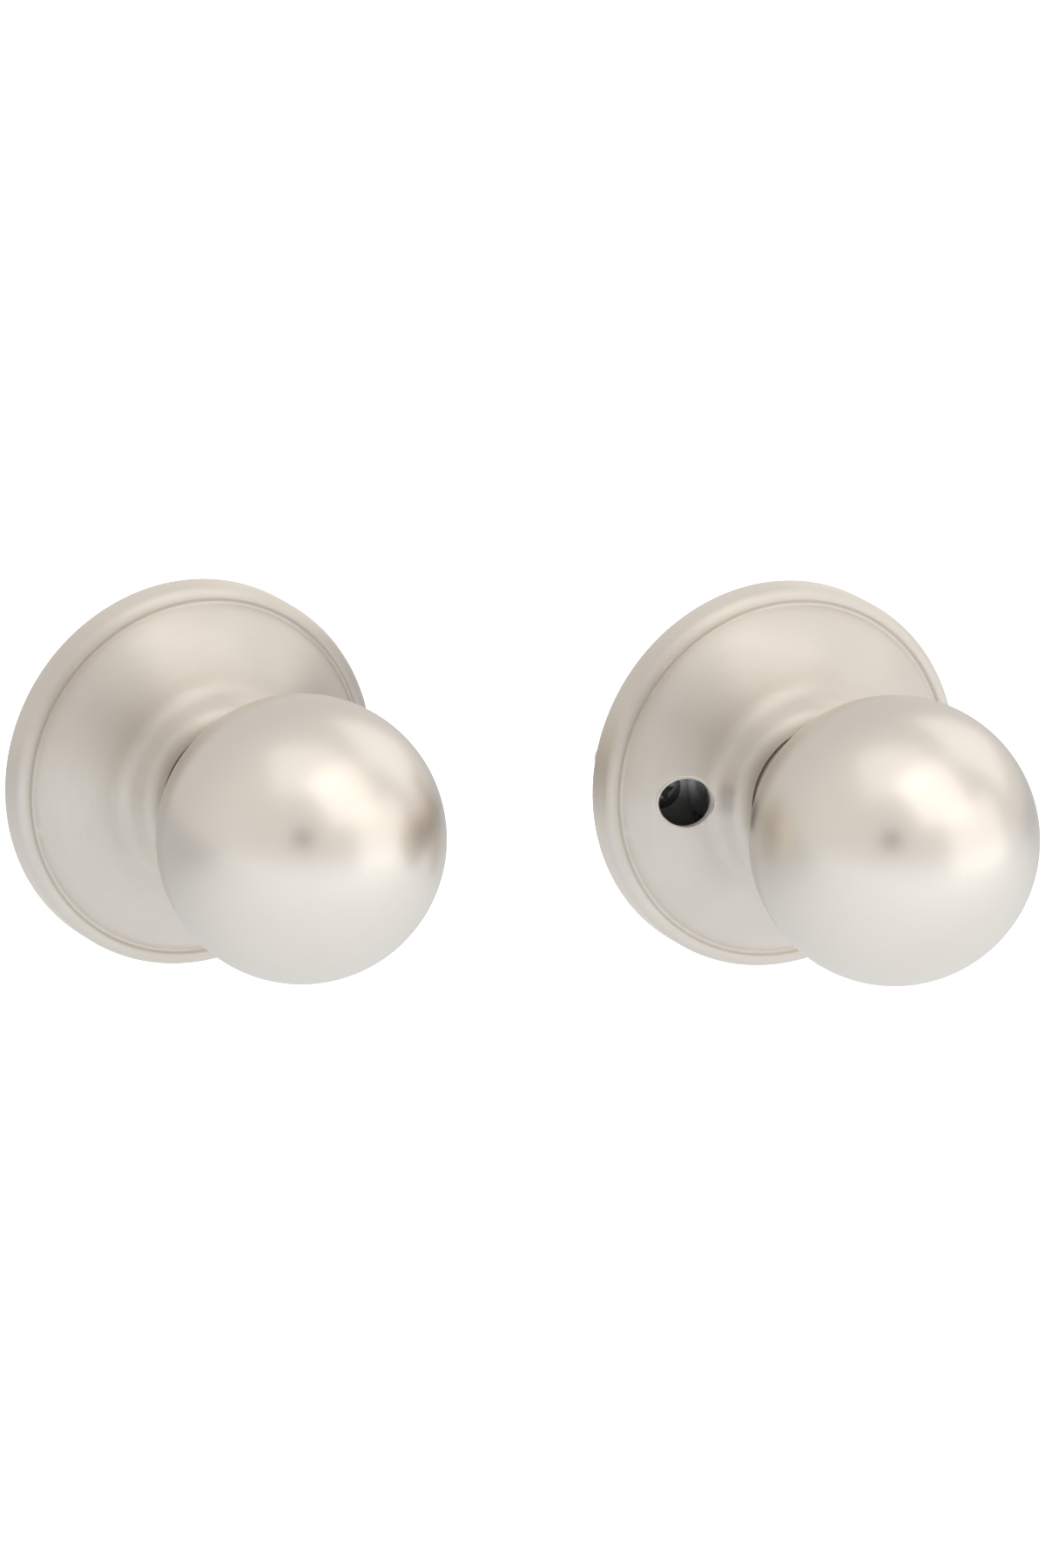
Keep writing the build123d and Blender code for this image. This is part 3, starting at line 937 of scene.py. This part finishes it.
@dataclass
class InteriorHalf(Half):
    """The half with the screw holes in its rose and the screws behind them."""

    hole_r: float = 4.4 * MM
    hole_lip_r: float = 0.32 * MM
    lip_outset: float = 0.7
    lip_sink: float = 0.6
    head_r: float = 3.7 * MM
    head_round: float = 0.9 * MM
    crown_r: float = 1.6 * MM
    crown_round: float = 1.5 * MM
    tip_round: float = 0.3 * MM
    recess_ends: Span = (0.7 * MM, 2.7 * MM)
    recess_depth: float = 2.2 * MM
    recess_middle: float = 0.75 * MM
    recess_flatness: float = 0.36
    recess_turn: float = math.radians(12)
    neck_length: float = 2.5 * MM
    screw_neck_r: float = 1.8 * MM
    thread_r: float = 2.08 * MM
    thread_pitch: float = 0.794 * MM
    thread_depth: float = 0.42 * MM

    def __post_init__(self) -> None:
        """Reads the screws' spacing from the frame as well."""
        super().__post_init__()
        low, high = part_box(self.node("mounting_screws"))
        self.hole_offset = (high.x - low.x) / 2 - self.head_r

    def pierced(self, work: bmesh.types.BMesh) -> bmesh.types.BMesh:
        """Punches the two screw holes and rounds their lips.

        Args:
            work: the rose's shape, which is used up.

        Returns:
            The pierced rose with the lips.
        """
        lips = []
        for side in (-1, 1):
            shift = Matrix.Translation((side * self.hole_offset, 0, 0))
            work = cut(work, shifted(drum(self.hole_r, self.rose_wall, 2 * self.hub_top), shift))
            middle = self.hole_r + self.lip_outset * self.hole_lip_r
            lip = Section([(middle - self.hole_lip_r, 0), (middle + self.hole_lip_r, 0)],
                          arcs={0: self.hole_lip_r, 1: self.hole_lip_r}, longest=0.12 * MM).spun(96)
            shifted(lip, shift)
            for vert in lip.verts:
                radius = math.hypot(vert.co.x, vert.co.y)
                vert.co.z += self.face_height(radius) - self.lip_sink * self.hole_lip_r
            lips.append(lip)
        return merged([work, *lips])

    def small_parts(self) -> list[SmallPart]:
        """The small parts, with the spindle's socket."""
        return super().small_parts() + [
            SmallPart("spindle_socket", self.knob_body, Slot.DIE_CAST, 0.25 * MM),
        ]

    def recessed(self, work: bmesh.types.BMesh, head_top: float) -> bmesh.types.BMesh:
        """Presses the cross recess into a screw's head.

        Args:
            work: the screw's body, which is used up.
            head_top: the height of the head's top.

        Returns:
            The body with its recess.
        """
        narrow, wide = self.recess_ends
        for quarter in (0.0, math.pi / 2):
            blade = bmesh.new()
            bmesh.ops.create_cone(blade, cap_ends=True, segments=4, radius1=narrow, radius2=wide,
                                  depth=self.recess_depth)
            bmesh.ops.scale(blade, vec=(1.0, self.recess_flatness, 1.0), verts=blade.verts[:])
            turn = Matrix.Rotation(quarter + self.recess_turn, 4, "Z")
            shifted(blade, Matrix.Translation((0, 0, head_top - self.recess_middle)) @ turn)
            work = cut(work, blade)
        return work

    def build_screws(self) -> None:
        """The pan-head screws, with their cross recesses and threads."""
        tip, head_top = self.reach("mounting_screws")
        head_low = self.reach("mounting_plate")[1]
        neck_low, core_r = head_low - self.neck_length, self.thread_r - self.thread_depth
        shapes = []
        for side in (-1, 1):
            body = Section([
                (0, tip), (core_r, tip), (core_r, neck_low), (self.screw_neck_r, neck_low),
                (self.screw_neck_r, head_low), (self.head_r, head_low),
                (self.head_r, head_top - self.head_round), (self.crown_r, head_top), (0, head_top),
            ], rounds={1: self.tip_round, 6: self.head_round, 7: self.crown_round}, segments=6).spun(64)
            thread = screw_thread(self.thread_r, self.thread_depth, self.thread_pitch, tip, neck_low)
            for shape in (self.recessed(body, head_top), thread):
                shapes.append(shifted(shape, Matrix.Translation((side * self.hole_offset, 0, 0))))
        piece = finished(merged(shapes), self.node("screws"), self.place)
        self.show(piece, Body.DOOR_SIDE, Slot.ZINC_PLATE, self.rack.plain[Slot.ZINC_PLATE], "mounting_screws")


# -----------------------------------------------------------------------------
# Studio
# -----------------------------------------------------------------------------


@dataclass(frozen=True)
class Softbox:
    """A square soft light, aimed at the set."""

    name: str
    azimuth: float
    elevation: float
    distance: float
    size: float
    power: float
    colour: tuple[float, float, float] = (1.0, 1.0, 1.0)


@dataclass
class Studio:
    """The floor, the lights and the camera."""

    view_azimuth: float = -25.66
    view_elevation: float = 16.1
    distance: float = 3.0
    frame_height: float = 0.2707
    aim_right: float = -0.0024
    aim_up: float = 0.0035
    floor_drop: float = 0.22
    floor_reach: float = 20.0
    # The floor's glow, brighter in front, is painted light, and its paper's darker colour behind is painted
    # shade.
    floor_depths: Span = (-0.7, 0.5)
    floor_glow: Span = (0.48, 0.10)
    floor_glow_colour: Colour = (0.94, 0.97, 1.0, 1)
    shade_depths: Span = (0.0, 0.7)
    paper_front: Colour = (0.72, 0.76, 0.80, 1)
    shaded_paper_behind: Colour = (0.56, 0.58, 0.60, 1)
    tent_depths: Span = (0.1, 0.8)
    tent_glow: Span = (0.94, 0.80)
    tent_colour: Colour = (1.0, 0.99, 0.975, 1)
    card_r: float = 0.12
    card_colour: Colour = (0.03, 0.03, 0.03, 1)
    softboxes: tuple[Softbox, ...] = (
        Softbox("key_softbox", 22.0, 46.0, 1.2, 0.95, 1.9, (1.0, 0.985, 0.96)),
        Softbox("top_softbox", -25.0, 72.0, 1.2, 1.0, 1.0),
        Softbox("right_softbox", 44.0, 4.0, 1.2, 1.1, 1.8, (1.0, 0.985, 0.96)),
        Softbox("rear_softbox", 105.0, 36.0, 1.2, 0.9, 1.0),
    )

    @staticmethod
    def direction(azimuth: float, elevation: float) -> Vector:
        """The unit vector from the set towards a viewer at an azimuth and elevation in degrees."""
        a, e = math.radians(azimuth), math.radians(elevation)
        return Vector((math.sin(a) * math.cos(e), -math.cos(a) * math.cos(e), math.sin(e)))

    def aim(self) -> tuple[Vector, Vector]:
        """Where the camera looks and the direction back to it."""
        back = self.direction(self.view_azimuth, self.view_elevation)
        right = Vector((0, 0, 1)).cross(back).normalized()
        up = back.cross(right)
        rose_low, rose_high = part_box("exterior_rose")
        ball_low, ball_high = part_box("interior_ball_shell")
        rose = Vector(((rose_low.x + rose_high.x) / 2, rose_high.y, (rose_low.z + rose_high.z) / 2))
        ball_r = (ball_high.x - ball_low.x) / 2
        ball = Vector(((ball_low.x + ball_high.x) / 2, ball_low.y + ball_r, (ball_low.z + ball_high.z) / 2))
        return (rose + ball) / 2 + self.aim_right * right + self.aim_up * up, back

    def build_camera(self) -> None:
        """A long lens, so that the two halves show at one size."""
        target, back = self.aim()
        data = bpy.data.cameras.new("camera")
        data.lens = data.sensor_width * self.distance / self.frame_height
        data.clip_start, data.clip_end = 0.05, 100.0
        camera = bpy.data.objects.new("camera", data)
        camera.location = target + back * self.distance
        camera.rotation_mode = "QUATERNION"
        camera.rotation_quaternion = (-back).to_track_quat("-Z", "Y")
        bpy.context.scene.collection.objects.link(camera)
        bpy.context.scene.camera = camera

    def build_lights(self) -> None:
        """The softboxes and the even light of the tent round them."""
        target, _ = self.aim()
        for box in self.softboxes:
            data = bpy.data.lights.new(box.name, "AREA")
            data.shape, data.size, data.energy, data.color = "SQUARE", box.size, box.power, box.colour
            lamp = bpy.data.objects.new(box.name, data)
            toward = self.direction(box.azimuth, box.elevation)
            lamp.location = target + toward * box.distance
            lamp.rotation_mode = "QUATERNION"
            lamp.rotation_quaternion = toward.to_track_quat("Z", "Y")
            bpy.context.scene.collection.objects.link(lamp)
        world = bpy.data.worlds.new("tent")
        world.use_nodes = True
        sheet = NodeSheet(world.node_tree)
        place = sheet.add("ShaderNodeTexCoord").outputs["Generated"]
        depth = sheet.add("ShaderNodeSeparateXYZ", {0: place}).outputs["Y"]
        glow = sheet.span(depth, *self.tent_depths, *self.tent_glow)
        seen = sheet.add("ShaderNodeLightPath").outputs["Is Camera Ray"]
        light = sheet.add("ShaderNodeBackground", {
            "Color": self.tent_colour, "Strength": sheet.math("ADD", glow, seen)})
        sheet.add("ShaderNodeOutputWorld", {"Surface": light.outputs[0]})
        bpy.context.scene.world = world

    def build_floor(self) -> None:
        """A wide pale floor well below the set, white in the view. It glows brighter in front than behind, a
        painted light, and its colour darkens behind, a painted shade.
        """
        low, _ = CAD_BOX
        work = bmesh.new()
        bmesh.ops.create_grid(work, x_segments=8, y_segments=8, size=self.floor_reach)
        floor = finished(work, "floor", Matrix.Translation((0, 0, low.z - self.floor_drop)))
        made = bpy.data.materials.new("pale_floor")
        made.use_nodes = True
        sheet = NodeSheet(made.node_tree)
        place = sheet.add("ShaderNodeTexCoord").outputs["Object"]
        depth = sheet.add("ShaderNodeSeparateXYZ", {0: place}).outputs["Y"]
        # Painted light: the floor glows more in front than behind, though it is no lamp.
        glow = sheet.span(depth, *self.floor_depths, *self.floor_glow)
        # Painted shade: the paper's colour darkens towards the back.
        behind = sheet.span(depth, *self.shade_depths, 0.0, 1.0)
        paper_and_shade = sheet.mixed(behind, self.paper_front, self.shaded_paper_behind)
        seen = sheet.add("ShaderNodeLightPath").outputs["Is Camera Ray"]
        shader = sheet.add("ShaderNodeBsdfPrincipled", {
            "Base Color": paper_and_shade, "Roughness": 0.9, "Specular IOR Level": 0.1,
            "Emission Color": self.floor_glow_colour, "Emission Strength": sheet.math("ADD", glow, seen)})
        sheet.add("ShaderNodeOutputMaterial", {"Surface": shader.outputs["BSDF"]})
        floor.data.materials.append(made)

    def build_card(self) -> None:
        """A round dark card a metre in front, seen only in reflections, as a camera is."""
        target, back = self.aim()
        work = bmesh.new()
        bmesh.ops.create_circle(work, cap_ends=True, segments=64, radius=self.card_r)
        turn = back.to_track_quat("Z", "Y").to_matrix().to_4x4()
        card = finished(work, "camera_card", Matrix.Translation(target + back) @ turn)
        card.visible_camera = False
        card.visible_diffuse = False
        card.visible_shadow = False
        made = bpy.data.materials.new("dark_card")
        made.use_nodes = True
        sheet = NodeSheet(made.node_tree)
        shader = sheet.add("ShaderNodeBsdfPrincipled", {"Base Color": self.card_colour, "Roughness": 0.9})
        sheet.add("ShaderNodeOutputMaterial", {"Surface": shader.outputs["BSDF"]})
        card.data.materials.append(made)

    def build(self) -> None:
        """Everything that isn't the object."""
        self.build_camera()
        self.build_lights()
        self.build_floor()
        self.build_card()
        bpy.context.scene.view_settings.view_transform = "Standard"


def main() -> None:
    """Builds the studio and both halves, and reports each piece."""
    logging.basicConfig(level=logging.INFO, format="%(name)s: %(message)s")
    Studio().build()
    rack = FinishRack()
    shelf = ShapeShelf()
    exterior = ExteriorHalf(Side.EXTERIOR, rack, shelf)
    interior = InteriorHalf(Side.INTERIOR, rack, shelf)
    for half in (exterior, interior):
        half.build_rose()
        half.build_knob()
        half.build_shank()
        half.build_plate()
        half.build_small_parts()
    interior.build_screws()
    for half in (exterior, interior):
        half.dress_chassis()
        LOG.info("%s half: %d new pieces", half.side.value, len(half.made))
    shelf.clear()


if __name__ == "__main__":
    main()
